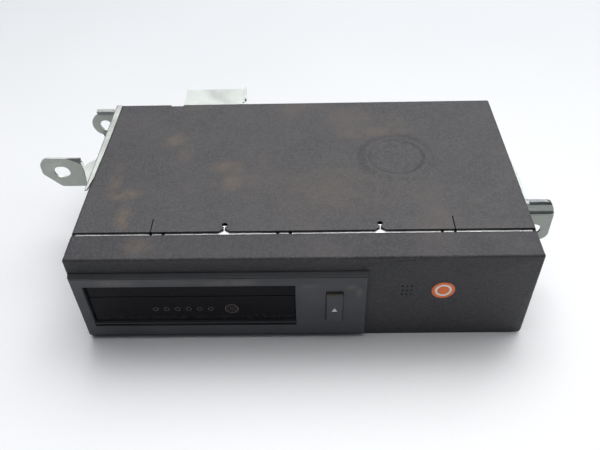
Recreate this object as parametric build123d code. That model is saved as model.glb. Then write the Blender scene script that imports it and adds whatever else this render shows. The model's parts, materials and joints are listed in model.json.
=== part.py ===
from build123d import *
import math
import os

# Car CD changer: a wide flat case that takes a magazine of discs behind a flap at its left, and plays them at its
# right, where a deck rises to the level of each disc. Millimetres, X right, Y back, Z up. The shapes are drawn from
# the case's front face (y = 0) and moved at the end, so that the origin is the middle of the underside.

# ---------------------------------------------------------------- driving dimensions
CASE_W = 280.0          # width over the cover
CASE_D = 161.5          # front face of the bezel to the rear edge of the cover
CASE_H = 71.5           # underside to the flat top
COVER_T = 1.1           # painted sheet of the cover
SHEET = 1.2             # plated sheet of the chassis
COVER_BEND = 2.0        # outer bend radius along the cover's top edges
BEZEL_DEPTH = 21.2      # bezel top, front to back
COVER_FRONT = 23.0      # where the cover starts, behind the gap that shows the frame's flange
SLIT_X = 91.8           # thin slits in the cover
SLIT_END = 34.5
SLIT_W = 0.7
KEYHOLE_X = 47.2        # mushroom notches in the cover's front edge
EMBOSS_X, EMBOSS_Y = 63.5, 93.5   # round emboss above the clamper, also the spindle's axis
WIN_X0, WIN_X1 = -132.2, -4.7     # flap opening
WIN_Z0, WIN_Z1 = 16.4, 50.5
PANEL_X0, PANEL_X1 = -139.0, 38.8
PANEL_Z0, PANEL_Z1 = 4.0, 60.2
PANEL_T = 3.0
DOOR_T = 2.0
HINGE_Y, HINGE_Z = 5.6, 53.0      # flap hinge
PIN_R = 1.5
RUN = 0.06              # radial clearance of running fits
BTN_X0, BTN_X1 = 14.2, 24.3
BTN_Z0, BTN_Z1 = 18.5, 42.5
BTN_TRAVEL = 3.0
LIFT = 24.0             # five steps between six discs, 4.8 each
CAM_TRAVEL = 32.0
PIN_X = (48.0, 96.0)    # lift pins
PIN_Z = 12.0
SLOT_W = 4.2
LIFT_PIN_R = 1.8
PINION_TEETH = 12
MODULE = 1.0
PINION_X, PINION_Z = 100.0, 49.2
SLED_TRAVEL = 34.0
LENS_X = 87.5           # lens over the disc's inner track
DECK_Z = 13.2
DISC_Z = 19.6           # underside of the disc on the turntable
CLAMP_X, CLAMP_Z = 131.5, 27.0
EAR_T = 1.5


# ---------------------------------------------------------------- helpers
def bx(x0, x1, y0, y1, z0, z1):
    return Pos((x0 + x1) / 2, (y0 + y1) / 2, (z0 + z1) / 2) * Box(abs(x1 - x0), abs(y1 - y0), abs(z1 - z0))


def cx(x0, x1, y, z, r):
    return Pos((x0 + x1) / 2, y, z) * Rot(0, 90, 0) * Cylinder(r, abs(x1 - x0))


def cy(x, y0, y1, z, r):
    return Pos(x, (y0 + y1) / 2, z) * Rot(90, 0, 0) * Cylinder(r, abs(y1 - y0))


def cz(x, y, z0, z1, r):
    return Pos(x, y, (z0 + z1) / 2) * Cylinder(r, abs(z1 - z0))


def prism_x(pts, x0, x1):
    """Polygon of (y, z) points, extruded along X."""
    plane = Plane(origin=(x0, 0, 0), x_dir=(0, 1, 0), z_dir=(1, 0, 0))
    return extrude(plane * Polygon(*pts, align=None), amount=x1 - x0, dir=(1, 0, 0))


def prism_y(pts, y0, y1):
    """Polygon of (x, z) points, extruded along Y."""
    plane = Plane(origin=(0, y0, 0), x_dir=(1, 0, 0), z_dir=(0, -1, 0))
    return extrude(plane * Polygon(*pts, align=None), amount=y1 - y0, dir=(0, 1, 0))


def prism_z(pts, z0, z1):
    """Polygon of (x, y) points, extruded along Z."""
    plane = Plane(origin=(0, 0, z0))
    return extrude(plane * Polygon(*pts, align=None), amount=z1 - z0, dir=(0, 0, 1))


def bar_y(xa, za, xb, zb, w, y0, y1):
    """Round-ended bar or slot between two (x, z) points, width w, through y0..y1."""
    dx, dz = xb - xa, zb - za
    n = math.hypot(dx, dz)
    px, pz = -dz / n * w / 2, dx / n * w / 2
    body = prism_y([(xa + px, za + pz), (xb + px, zb + pz), (xb - px, zb - pz), (xa - px, za - pz)], y0, y1)
    return body + cy(xa, y0, y1, za, w / 2) + cy(xb, y0, y1, zb, w / 2)


def bar_z(xa, ya, xb, yb, w, z0, z1):
    """Round-ended bar between two (x, y) points."""
    dx, dy = xb - xa, yb - ya
    n = math.hypot(dx, dy)
    px, py = -dy / n * w / 2, dx / n * w / 2
    body = prism_z([(xa + px, ya + py), (xb + px, yb + py), (xb - px, yb - py), (xa - px, ya - py)], z0, z1)
    return body + cz(xa, ya, z0, z1, w / 2) + cz(xb, yb, z0, z1, w / 2)


def coil_y(x, y0, y1, z, r, wire, turns):
    """Compression or tension spring along Y."""
    helix = Helix(pitch=(y1 - y0 - 2 * wire) / turns, height=y1 - y0 - 2 * wire, radius=r,
                  center=(0, 0, 0), direction=(0, 0, 1))
    section = Plane(origin=helix @ 0, z_dir=helix % 0) * Circle(wire)
    body = sweep(section, path=helix, is_frenet=True)
    return Pos(x, y0 + wire, z) * Rot(-90, 0, 0) * body


def edges_at(shape, axis, **lim):
    """Edges parallel to an axis whose centre lies inside the given limits."""
    out = []
    for e in shape.edges().filter_by(axis):
        c = e.center()
        if all(lo <= getattr(c, k) <= hi for k, (lo, hi) in
               ((k.upper(), v) for k, v in lim.items())):
            out.append(e)
    return out


parts = {}

# ---------------------------------------------------------------- cover
outer = bx(-CASE_W / 2, CASE_W / 2, COVER_FRONT, CASE_D, 1.2, CASE_H)
outer = fillet(edges_at(outer, Axis.Y, z=(CASE_H - 0.1, CASE_H + 0.1)), COVER_BEND)
inner = bx(-CASE_W / 2 + COVER_T, CASE_W / 2 - COVER_T, COVER_FRONT - 1, CASE_D + 1, -2, CASE_H - COVER_T)
inner = fillet(edges_at(inner, Axis.Y, z=(CASE_H - COVER_T - 0.1, CASE_H)), COVER_BEND - COVER_T)
cover = outer - inner
for s in (-1, 1):
    cover -= bx(s * SLIT_X - SLIT_W / 2, s * SLIT_X + SLIT_W / 2, COVER_FRONT - 1, SLIT_END, CASE_H - 3, CASE_H + 1)
    k = s * KEYHOLE_X
    cover -= prism_z([(k - 3.4, COVER_FRONT - 1), (k - 3.4, COVER_FRONT), (k - 1.2, COVER_FRONT + 1.7), (k - 0.35, COVER_FRONT + 2.1),
                      (k - 0.35, 28.6), (k + 0.35, 28.6), (k + 0.35, COVER_FRONT + 2.1), (k + 1.2, COVER_FRONT + 1.7),
                      (k + 3.4, COVER_FRONT), (k + 3.4, COVER_FRONT - 1)], CASE_H - 3, CASE_H + 1)
    cover -= cz(k, 28.6, CASE_H - 3, CASE_H + 1, 1.8)
cover -= bx(-100.0, -90.6, CASE_D - 1.5, CASE_D + 1, CASE_H - 3, CASE_H + 1)
# round emboss: a shallow dish inside a raised ring that fades outwards
RIM = 28.8
top_pts = [(16.0, 0.15), (17.8, 0.5), (19.3, 1.35), (20.3, 1.5), (22.0, 1.2), (25.2, 0.35)]
with BuildPart() as emb:
    with BuildSketch(Plane.XZ) as sk:
        with BuildLine() as ln:
            l1 = Line((0, 0.15), (16.0, 0.15))
            s1 = Spline(*top_pts, (RIM, 0.0), tangents=((1, 0), (1, 0)))
            l2 = Line((RIM, 0.0), (RIM, -COVER_T))
            s2 = Spline((RIM, -COVER_T), *[(r, z - COVER_T) for r, z in reversed(top_pts)], tangents=((-1, 0), (-1, 0)))
            l3 = Line((16.0, 0.15 - COVER_T), (0, 0.15 - COVER_T))
            l4 = Line((0, 0.15 - COVER_T), (0, 0.15))
        make_face()
    revolve(axis=Axis.Z)
cover -= cz(EMBOSS_X, EMBOSS_Y, CASE_H - COVER_T - 1, CASE_H + 1, RIM)
cover += Pos(EMBOSS_X, EMBOSS_Y, CASE_H) * emb.part
SIDE_SCREWS = [(s, y, 12.0) for s in (-1, 1) for y in (44.0, 150.0)]
LEFT_FIX = [(-1, 86.0, 52.0), (-1, 146.0, 52.0)]
RIGHT_FIX = [(1, 62.0, 52.0), (1, 88.0, 52.0)]
REAR_FIX = [(-82.0, 52.0), (-54.0, 52.0)]
for s, y, z in SIDE_SCREWS + LEFT_FIX + RIGHT_FIX:
    cover -= cx(s * 138.0, s * 141.0, y, z, 1.7)
parts["rear_cover"] = cover

# ---------------------------------------------------------------- chassis tray
CX = CASE_W / 2 - COVER_T - 0.1      # outside of the chassis walls
tray = bx(-CX, CX, BEZEL_DEPTH + 0.2, 161.3, 0, SHEET)
tray += bx(-CX, CX, 160.1, 161.3, SHEET, 68.5)
for s in (-1, 1):
    tray += bx(min(s * CX, s * (CX - SHEET)), max(s * CX, s * (CX - SHEET)), 24.4, 160.1, SHEET, 60.0)
tray -= bx(-44.0, -6.0, 159, 163, SHEET, 14.4)
for i in range(9):
    tray -= bx(30 + i * 9.0, 35 + i * 9.0, 159, 163, 30.0, 52.0)
for x, z in REAR_FIX:
    tray -= cy(x, 159, 163, z, 1.45)
for s, y, z in SIDE_SCREWS + LEFT_FIX + RIGHT_FIX:
    tray -= cx(s * 137.0, s * 139.5, y, z, 1.45)
for x, y in ((-126, 40), (-126, 142), (-12, 40), (-12, 142)):
    tray += cz(x, y, SHEET, 5.0, 2.5)
parts["chassis_tray"] = tray

# ---------------------------------------------------------------- front frame, whose top flange shows in the gap
FY0, FY1 = 2.7, 3.7
ff = bx(-CX, CX, FY0, 36.0, 1.8, CASE_H - 1.3)
ff = fillet(edges_at(ff, Axis.Y, z=(CASE_H - 1.4, CASE_H - 1.2)), 1.6)
ff -= bx(-CX + 1.0, CX - 1.0, FY1, 41.0, 0, CASE_H - 2.3)
for k in (-KEYHOLE_X, KEYHOLE_X):
    ff -= bx(k - 3.0, k + 3.0, 28.9, 37.0, 60, 80)
for s in (-1, 1):                       # the side flanges are shorter than the top flange
    ff -= bx(min(s * 130, s * 141), max(s * 130, s * 141), 24.0, 41.0, 0, CASE_H - 3.4)
ff -= bx(-135.5, -2.0, 0, 10, 13.5, 58.5)
ff -= bx(13.4, 25.1, 0, 10, 17.6, 43.4)
for x in (-SLIT_X + 0.2, SLIT_X - 0.2):
    ff -= bx(x - 0.9, x + 0.9, 18.0, 37.0, 60, 80)
for x in (-84.0, -14.7, -7.0, 84.0):
    ff -= bx(x - 0.9, x + 0.9, 18.0, 26.0, 60, 80)
for x0, x1 in ((-136.6, -135.6), (-2.0, -1.0)):   # lugs that hold the flap's pin
    lug = bx(x0, x1, FY1 - 0.5, 6.0, 49.5, 56.5) + cx(x0, x1, HINGE_Y + 0.4, HINGE_Z, 3.2)
    ff += lug
    ff -= cx(x0 - 0.1, x1 + 0.1, HINGE_Y, HINGE_Z, PIN_R)
BEZEL_FIX = [(-137.0 + 5.5, 8.0), (131.5, 12.0), (-60.0, 62.5), (60.0, 62.5), (131.5, 62.5), (60.0, 8.0)]
for x, z in BEZEL_FIX:
    ff -= cy(x, 1, 5, z, 1.6)
PEGS = [(-136.9, 56.0), (5.0, 56.0), (5.0, 10.0), (34.0, 56.0), (34.0, 10.0), (-100.0, 9.0)]
for x, z in PEGS[1:]:
    ff -= cy(x, 1, 5, z, 1.9)
ff -= prism_y([(124.0, 1.0), (141.0, 1.0), (141.0, 11.5)], 0, 41)
parts["front_frame"] = ff

# ---------------------------------------------------------------- bezel
bz = bx(-CASE_W / 2, CASE_W / 2, 0, BEZEL_DEPTH, 0, CASE_H)
bz = fillet(edges_at(bz, Axis.Y, z=(CASE_H - 0.1, CASE_H + 0.1)), 2.2)
bz = fillet([e for e in bz.edges().filter_by(Axis.X) if e.center().Z > CASE_H - 0.1 and e.center().Y < 0.1], 1.6)
bz -= prism_x([(BEZEL_DEPTH - 1.9, CASE_H), (BEZEL_DEPTH + 1, CASE_H - 1.5), (BEZEL_DEPTH + 1, CASE_H + 1), (BEZEL_DEPTH - 1.9, CASE_H + 1)],
              -141, 141)
cut = prism_y([(132.6, -1), (132.6, 0.0), (139.0, 1.3), (140.0, 4.4), (141.0, 7.5), (141.0, -1)], -1, BEZEL_DEPTH + 1)
bz -= cut
cav = bx(-CX - 0.1, CX + 0.1, 2.5, BEZEL_DEPTH + 1, 1.5, CASE_H - 1.3)
cav = fillet(edges_at(cav, Axis.Y, z=(CASE_H - 1.4, CASE_H - 1.2)), 1.5)
cav -= prism_y([(128.0, 0), (141.0, 0), (141.0, 8.5)], 0, BEZEL_DEPTH + 2)
bz -= cav
bz -= bx(WIN_X0, WIN_X1, -1, 4, WIN_Z0, WIN_Z1)
bz -= bx(BTN_X0 - 0.4, BTN_X1 + 0.4, -1, 4, BTN_Z0 - 0.5, BTN_Z1 + 0.5)
for i in (-1, 0, 1):
    for k in (-1, 0, 1):
        bz -= cy(62.9 + 2.7 * i, -1, 4, 42.5 + 3.7 * k, 0.6)
for x, z in BEZEL_FIX:
    bz -= cy(x, 0.9, 4, z, 1.25)
for x, z in PEGS[1:]:
    bz -= cy(x, -1, 4, z, 1.5)
parts["front_bezel"] = bz

# ---------------------------------------------------------------- smooth escutcheon
pn = bx(PANEL_X0, PANEL_X1, -PANEL_T, 0, PANEL_Z0, PANEL_Z1)
pn = fillet([e for e in pn.edges().filter_by(Axis.Z) if e.center().Y < -PANEL_T + 0.1], 0.9)
pn = fillet([e for e in pn.edges().filter_by(Axis.X) if e.center().Y < -PANEL_T + 0.1 and e.center().Z < 5], 1.0)
pn -= prism_x([(-PANEL_T - 1, 58.5), (-PANEL_T, 58.5), (-0.6, PANEL_Z1), (-0.6, PANEL_Z1 + 1), (-PANEL_T - 1, PANEL_Z1 + 1)],
              PANEL_X0 - 1, PANEL_X1 + 1)
pn -= bx(PANEL_X0 - 1, PANEL_X1 + 1, -PANEL_T - 1, -PANEL_T + 0.35, 57.6, 58.1)
# window, whose lower edge is a thin sill with a groove in front of and below it
pn -= bx(WIN_X0, WIN_X1, -4, 1, 15.7, WIN_Z1)
pn -= bx(WIN_X0, WIN_X1, -4, -2.3, 14.8, 15.8)
pn -= bx(WIN_X0, WIN_X1, -4, -0.8, 13.5, 14.9)
pn = chamfer([e for e in pn.edges() if abs(e.center().Y + PANEL_T) < 0.01
              and WIN_X0 - 0.1 <= e.center().X <= WIN_X1 + 0.1 and 20.0 <= e.center().Z <= WIN_Z1 + 0.1], 0.45)
pn -= bx(BTN_X0 - 0.3, BTN_X1 + 0.3, -4, 1, BTN_Z0 - 0.3, BTN_Z1 + 0.3)
scoop = bx(BTN_X0 - 0.3, BTN_X1 + 0.3, -4, -1.9, BTN_Z1 - 1, BTN_Z1 + 3.6)
pn -= fillet(edges_at(scoop, Axis.Y, z=(BTN_Z1 + 3.5, BTN_Z1 + 3.7)), 0.8)
for x, z in PEGS[1:]:
    pn += cy(x, 0, 3.4, z, 1.5)
parts["front_panel"] = pn

# ---------------------------------------------------------------- flap over the magazine bay
DX0, DX1 = WIN_X0 + 0.5, WIN_X1 - 0.5
door = bx(DX0, DX1, -0.6, -0.6 + DOOR_T, 17.3, 50.1)
door -= bx(DX0 - 1, DX1 + 1, -1.0, -0.3, 38.9, 51.0)
arm = [(-4.2, -5.2), (-4.2, -9.2), (-2.6, -9.2), (2.2, -1.0), (-1.2, -2.3)]
arm = [(HINGE_Y + a, HINGE_Z + b) for a, b in arm]
for x0, x1 in ((DX0 + 0.3, -125.0), (-11.9, DX1 - 0.3)):
    door += prism_x(arm, x0, x1) + cx(x0, x1, HINGE_Y, HINGE_Z, 2.6)
    door -= cx(x0 - 0.2, x1 + 0.2, HINGE_Y, HINGE_Z, PIN_R + RUN)
parts["magazine_door"] = door
# ground pins of the case: the flap's hinge pin here, the catch's pivot further down
parts["pivot_pins"] = [cx(-137.3, -0.4, HINGE_Y, HINGE_Z, PIN_R)]
# coil around the pin, with a short leg at each end
sp = Pos(-75.0, HINGE_Y, HINGE_Z) * Rot(0, 90, 0) * sweep(
    Plane(origin=(2.35, 0, 0), z_dir=(Helix(0.9, 8.1, 2.35) % 0)) * Circle(0.35), path=Helix(0.9, 8.1, 2.35), is_frenet=True)
parts["door_spring"] = sp

# ---------------------------------------------------------------- eject button
btn = bx(BTN_X0, BTN_X1, -4.7, 4.0, BTN_Z0, BTN_Z1)
btn -= prism_x([(-5.7, BTN_Z1 - 0.7), (-4.7, BTN_Z1 - 0.7), (-3.0, BTN_Z1), (-3.0, BTN_Z1 + 1), (-5.7, BTN_Z1 + 1)], BTN_X0 - 1, BTN_X1 + 1)
btn = fillet([e for e in btn.edges() if e.center().Y < -4.65], 0.35)
btn += bx(11.5, 27.0, 4.0, 5.2, 16.0, 44.6)
btn += bx(16.5, 22.0, 5.2, 12.0, 26.0, 32.0)
parts["eject_button"] = btn
parts["eject_mark"] = prism_y([(17.4, 28.4), (21.0, 28.4), (19.2, 31.6)], -4.8, -4.7)
parts["button_spring"] = coil_y(19.2, 5.3, 14.9, 20.6, 2.6, 0.3, 6)

# ---------------------------------------------------------------- round label
parts["round_label"] = cy(84.8, -0.2, 0.0, 42.2, 7.05)

# ---------------------------------------------------------------- car brackets, plated steel
lb = bx(-140 - EAR_T, -140, 68.5, 163.0, 43.0, 66.5)
lb += prism_z([(-140, 68.5), (-141.8, 68.9), (-145.0, 77.3), (-149.6, 89.0), (-150.6, 95.6), (-148.0, 99.4), (-143.2, 103.6),
               (-143.0, 117.6), (-142.6, 148.6), (-142.6, 163.0), (-140, 163.0)], 66.5 - EAR_T, 66.5)
# strut from the wall out to the ear
sx, sy = -156.0 + 141.0, 100.7 - 74.2
sl = math.hypot(sx, sy)
nx, ny = sy / sl * EAR_T, -sx / sl * EAR_T
lb += prism_z([(-141.0, 74.2), (-156.0, 100.7), (-156.0 + nx, 100.7 + ny), (-141.0 + nx, 74.2 + ny)], 43.5, 66.5)
lb -= bx(-140, -130, 60, 110, 40, 70)
# the wall goes on upwards and folds over the upper edge of the case
lb += prism_z([(-140 - EAR_T, 62.0), (-139.9, 62.0), (-138.2, 74.0), (-137.5, 100.0), (-137.1, 118.0), (-136.9, 160.6), (-140 - EAR_T, 160.6)],
              CASE_H + 0.05, CASE_H + 1.25)
lb += bx(-140 - EAR_T, -140.0, 68.5, 160.6, 60.0, CASE_H + 0.1)
lb = fillet([e for e in lb.edges().filter_by(Axis.Y) if abs(e.center().X + 140 + EAR_T) < 0.01 and e.center().Z > CASE_H + 1.2], 1.0)
ear = prism_y([(-155.2, 44.2), (-173.6, 44.2), (-184.8, 55.6), (-184.8, 69.0), (-155.2, 69.0)], 100.0, 100.0 + EAR_T)
ear = fillet([e for e in ear.edges().filter_by(Axis.Y) if e.center().X < -184 and e.center().Z > 60], 7.5)
ear = fillet([e for e in ear.edges().filter_by(Axis.Y) if e.center().X < -184 and e.center().Z < 60], 4.0)
ear = fillet([e for e in ear.edges().filter_by(Axis.Y) if -175 < e.center().X < -172], 5.0)
ear -= bar_y(-171.5, 57.1, -169.7, 57.1, 9.5, 99, 103)
lb += ear
rear = cy(-153.9, 160.0, 160.0 + EAR_T, 55.8, 9.9) + prism_y(
    [(-140.5, 43.2), (-157.0, 43.2), (-157.8, 50.0), (-157.5, 60.0), (-157.4, 64.6), (-158.0, 67.6), (-140.5, 67.6)], 160.0, 160.0 + EAR_T)
rear -= cy(-153.3, 159, 163, 55.1, 4.5)
rear += bx(-158.0, -145.0, 160.0, 163.6, 67.6 - EAR_T, 67.6)
lb += rear
for _, y, z in LEFT_FIX:
    lb -= cx(-142, -139, y, z, 1.7)
parts["left_bracket"] = lb

rb = bx(140, 140 + EAR_T, 50.2, 98.0, 36.0, 66.5)
rb += prism_z([(140, 50.2), (143.8, 50.2), (143.4, 75.0), (142.7, 88.0), (141.8, 97.0), (140, 98.0)], 66.5 - EAR_T, 66.5)
ear = prism_y([(140.4, 35.0), (161.4, 35.0), (161.0, 57.6), (140.4, 57.6)], 49.6, 49.6 + EAR_T)
ear = fillet([e for e in ear.edges().filter_by(Axis.Y) if e.center().X > 161.2 and e.center().Z < 40], 6.0)
ear -= cy(151.0, 48, 53, 44.2, 4.5)
rb += ear
# joggle, then the upper part that curls back
prof = [(49.6, 56.9), (50.8, 59.2), (50.8, 62.0), (51.2, 64.2), (52.2, 66.0), (53.9, 66.9)]
back = [(54.6, 65.5), (53.3, 64.9), (52.6, 63.6), (52.3, 61.8), (52.3, 58.8), (51.1, 56.4), (49.6, 56.4)]
top = prism_x(prof + back, 140.4, 161.0)
top -= prism_y([(154.5, 67.0), (158.4, 65.2), (160.3, 61.5), (161.1, 57.8), (163.0, 57.8), (163.0, 70.0), (154.5, 70.0)], 48, 58)
rb += top
for _, y, z in RIGHT_FIX:
    rb -= cx(139, 142, y, z, 1.7)
parts["right_bracket"] = rb

tab = bx(-92.0, -44.0, 161.3, 161.3 + EAR_T, 40.0, 66.5)
tab += prism_z([(-92.4, 161.4), (-44.0, 161.4), (-45.2, 191.6), (-92.2, 190.6)], 66.5 - EAR_T, 66.5)
tab += prism_z([(-92.2, 189.2), (-92.2, 190.6), (-45.2, 191.6), (-45.2, 190.2)], 62.0, 66.5)
tab += prism_z([(-44.0, 174.0), (-45.4, 174.0), (-46.5, 191.0), (-45.2, 191.6)], 66.0, 68.4)
tab -= cz(-46.4, 171.2, 60, 70, 0.8)
for x, z in REAR_FIX:
    tab -= cy(x, 160, 164, z, 1.7)
parts["rear_bracket"] = tab


def screw_x(s, x, y, z, r, head_t, shank_r, reach):
    """Pan-head screw in a side wall: s is the side, x the face under the head."""
    head = cx(s * x, s * (x + head_t), y, z, r)
    edge = head.edges().filter_by(GeomType.CIRCLE).sort_by(Axis.X)
    head = fillet(edge[0] if s < 0 else edge[-1], head_t * 0.45)
    head -= bx(min(s * (x + head_t - 0.7), s * (x + head_t + 1)), max(s * (x + head_t - 0.7), s * (x + head_t + 1)),
               y - r * 0.6, y + r * 0.6, z - 0.4, z + 0.4)
    head -= bx(min(s * (x + head_t - 0.7), s * (x + head_t + 1)), max(s * (x + head_t - 0.7), s * (x + head_t + 1)),
               y - 0.4, y + 0.4, z - r * 0.6, z + r * 0.6)
    return head + cx(s * (x - reach), s * x, y, z, shank_r)


parts["cover_screws"] = [screw_x(s, 140.0, y, z, 2.8, 1.5, 1.45, 3.6) for s, y, z in SIDE_SCREWS]
group = [screw_x(s, 140.0 + EAR_T, y, z, 3.2, 1.7, 1.45, 5.2) for s, y, z in LEFT_FIX + RIGHT_FIX]
for x, z in REAR_FIX:
    head = cy(x, 162.8, 164.5, z, 3.2)
    head = fillet(head.edges().filter_by(GeomType.CIRCLE).sort_by(Axis.Y)[-1], 0.7)
    head -= bx(x - 1.9, x + 1.9, 163.8, 166, z - 0.4, z + 0.4) + bx(x - 0.4, x + 0.4, 163.8, 166, z - 1.9, z + 1.9)
    group.append(head + cy(x, 159.0, 162.8, z, 1.45))
parts["bracket_screws"] = group
group = []
for x, z in BEZEL_FIX:
    head = cy(x, FY1, 5.4, z, 2.6)
    head -= bx(x - 1.6, x + 1.6, 4.8, 6, z - 0.35, z + 0.35) + bx(x - 0.35, x + 0.35, 4.8, 6, z - 1.6, z + 1.6)
    group.append(head + cy(x, 1.2, FY1, z, 1.25))
parts["bezel_screws"] = group

# ---------------------------------------------------------------- rear connector
con = bx(-43.0, -7.0, 146.0, 166.6, 2.0, 13.6)
con = fillet([e for e in con.edges().filter_by(Axis.Y)], 1.0)
con -= bx(-41.0, -9.0, 156.0, 168.0, 3.6, 12.0)
con -= bx(-29.0, -21.0, 156.0, 168.0, 11.0, 12.9)
parts["rear_connector"] = con
parts["connector_pins"] = [bx(-38.6 + 4.4 * i - 0.4, -38.6 + 4.4 * i + 0.4, 156.0, 163.5, z - 0.4, z + 0.4)
                           for i in range(7) for z in (5.9, 9.7)]

# ---------------------------------------------------------------- board under the bay
pcb = bx(-130.0, -8.0, 34.0, 146.0, 5.0, 6.6)
pcb = fillet(edges_at(pcb, Axis.Z, x=(-140, 0)), 1.5)
for x, y in ((-126, 40), (-126, 142), (-12, 40), (-12, 142)):
    pcb -= cz(x, y, 4, 8, 1.4)
parts["main_pcb"] = pcb
chips = [bx(-88, -70, 52, 70, 6.6, 8.8), bx(-60, -46, 48, 62, 6.6, 8.6), bx(-110, -98, 90, 108, 6.6, 9.0),
         bx(-62, -44, 80, 92, 6.6, 8.8), bx(-118, -110, 60, 72, 6.6, 8.2), bx(-36, -26, 60, 72, 6.6, 8.4)]
parts["pcb_chips"] = chips
caps = [cz(x, y, 6.6, 6.6 + h, r) for x, y, r, h in
        ((-120, 46, 4, 7), (-108, 46, 3.2, 7), (-98, 46, 2.5, 6), (-30, 44, 3.2, 7), (-20, 52, 2.5, 6), (-122, 82, 3.2, 7))]
parts["pcb_capacitors"] = caps
socks = [bx(-16, -9, 98, 118, 6.6, 11.2) - bx(-17, -9.0 + 0.1, 99.2, 116.8, 8.8, 9.6),
         bx(-18, -10, 66, 84, 6.6, 12.4) - bx(-16.6, -11.4, 67.4, 82.6, 8.0, 13)]
parts["pcb_sockets"] = socks

# ---------------------------------------------------------------- magazine bay
mf = bx(-133.6, -3.4, 4.2, 155.5, 14.9, 15.9)
for x in (-90.0, -50.0):
    mf -= bx(x - 2.4, x + 2.4, 138.6, 155.0, 14, 17)
mf -= bx(-120.0, -20.0, 30.0, 100.0, 14, 15.95) - bx(-72.0, -68.0, 20.0, 110.0, 14, 16)
mf += cz(-70.0, 109.0, 10.6, 14.9, 1.2)
parts["bay_floor"] = mf
lw = bx(-134.6, -133.6, 9.0, 156.5, 1.8, 50.6) + bx(-134.6, -133.6, 24.4, 156.5, 1.2, 1.8)
parts["bay_left_wall"] = lw
rw = bx(-3.4, -2.4, 24.0, 156.5, 1.2, 50.6)
rw -= bx(-4.4, -1.4, 30.0, 154.4, 15.9, 52.0)
rw -= bx(-4.4, -1.4, 97.0, 119.0, 6.8, 12.2)
parts["bay_right_wall"] = rw
bw = bx(-133.6, -3.4, 155.5, 156.5, 14.9, 50.6) - bx(-110.0, -30.0, 154, 158, 30.0, 48.0)
parts["bay_back_wall"] = bw
roof = bx(-134.6, -2.4, 9.0, 156.5, 50.6, 51.6)
for x in (-110.0, -69.0, -28.0):
    for y in (52.0, 128.0):
        roof -= cz(x, y, 50, 52, 3.0)
for x0, x1 in ((-135.0, -124.4), (-12.5, -2.0)):      # room for the flap's arms
    roof -= bx(x0, x1, 8.0, 16.5, 50, 52)
parts["bay_roof"] = roof
parts["magazine_guides"] = [
    bx(-133.6, -132.0, 12.0, 150.0, 21.0, 25.0), bx(-133.6, -132.0, 12.0, 150.0, 38.0, 42.0),
    bx(-5.4, -3.6, 31.0, 150.0, 15.9, 18.6)]
pu = bx(-95.0, -45.0, 140.0, 141.6, 16.4, 34.0)
pu += bx(-95.0, -45.0, 141.6, 144.6, 16.4, 18.0)
for x in (-90.0, -50.0):
    pu += bx(x - 2.0, x + 2.0, 139.4, 142.0, 13.6, 16.4)
    pu += prism_x([(141.6, 18.0), (144.4, 18.0), (141.6, 30.0)], x - 1.0, x + 1.0)
pu += bx(-95.0, -45.0, 139.4, 143.0, 12.4, 13.9)
parts["magazine_pusher"] = pu
parts["pusher_spring"] = coil_y(-70.0, 110.6, 139.2, 12.4, 1.9, 0.3, 16)

# catch that holds the magazine, turned by the button
PVX, PVY = 8.0, 23.0
ct = bar_z(PVX, PVY, 19.0, 15.0, 3.2, 27.0, 29.6) + cz(19.0, 15.0, 27.0, 29.6, 2.3)
ct += bar_z(PVX, PVY, -1.6, 16.4, 3.2, 27.0, 29.6) + cz(PVX, PVY, 25.6, 31.0, 2.9)
ct += prism_z([(-1.6, 14.6), (-0.4, 18.0), (-3.2, 19.0), (-5.6, 16.6)], 27.0, 29.6)
ct -= cz(PVX, PVY, 25, 32, 2.0 + RUN)
parts["magazine_catch"] = ct
parts["pivot_pins"].append(cz(PVX, PVY, 3.0, 32.0, 2.0) + cz(PVX, PVY, 3.0, 25.2, 2.7) + cz(PVX, PVY, 31.4, 32.4, 2.8))

# ---------------------------------------------------------------- lift guides and cams
GX0, GX1 = 2.0, 136.6


def guide(y0, y1):
    g = bx(GX0, GX1, y0, y1, 1.8, 62.0)
    for x in PIN_X:
        g -= bar_y(x, PIN_Z, x, PIN_Z + LIFT, SLOT_W, y0 - 1, y1 + 1)
    g -= bx(60.0, 84.0, y0 - 1, y1 + 1, 24.0, 40.0)
    g -= bx(GX0 - 1, 30.0, y0 - 1, y1 + 1, 40.0, 63.0)
    return g


G0, G1 = 26.2, 27.4
fg = guide(G0, G1)
fg -= cy(PINION_X, G0 - 1, G1 + 1, PINION_Z, 2.4)
fg += bx(4.0, 27.0, 15.0, G0 + 0.2, 2.0, 3.0) + bx(12.0, 27.0, 15.0, 16.0, 3.0, 24.0)
for x in (40.0, 112.0):
    fg += bx(x, x + 16.0, 21.2, G0 + 0.2, 1.2, 2.2)
parts["front_guide_plate"] = fg
rg = guide(158.9, 159.9) + bx(GX0, GX1, 158.9, 160.1, 1.2, 1.8)
parts["rear_guide_plate"] = rg


def cam(y0, y1):
    c = bx(8.0, 104.0, y0, y1, 6.0, 42.1)
    for x in PIN_X:
        c -= bar_y(x, PIN_Z, x - CAM_TRAVEL, PIN_Z + LIFT, SLOT_W, y0 - 1, y1 + 1)
    return c


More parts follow.
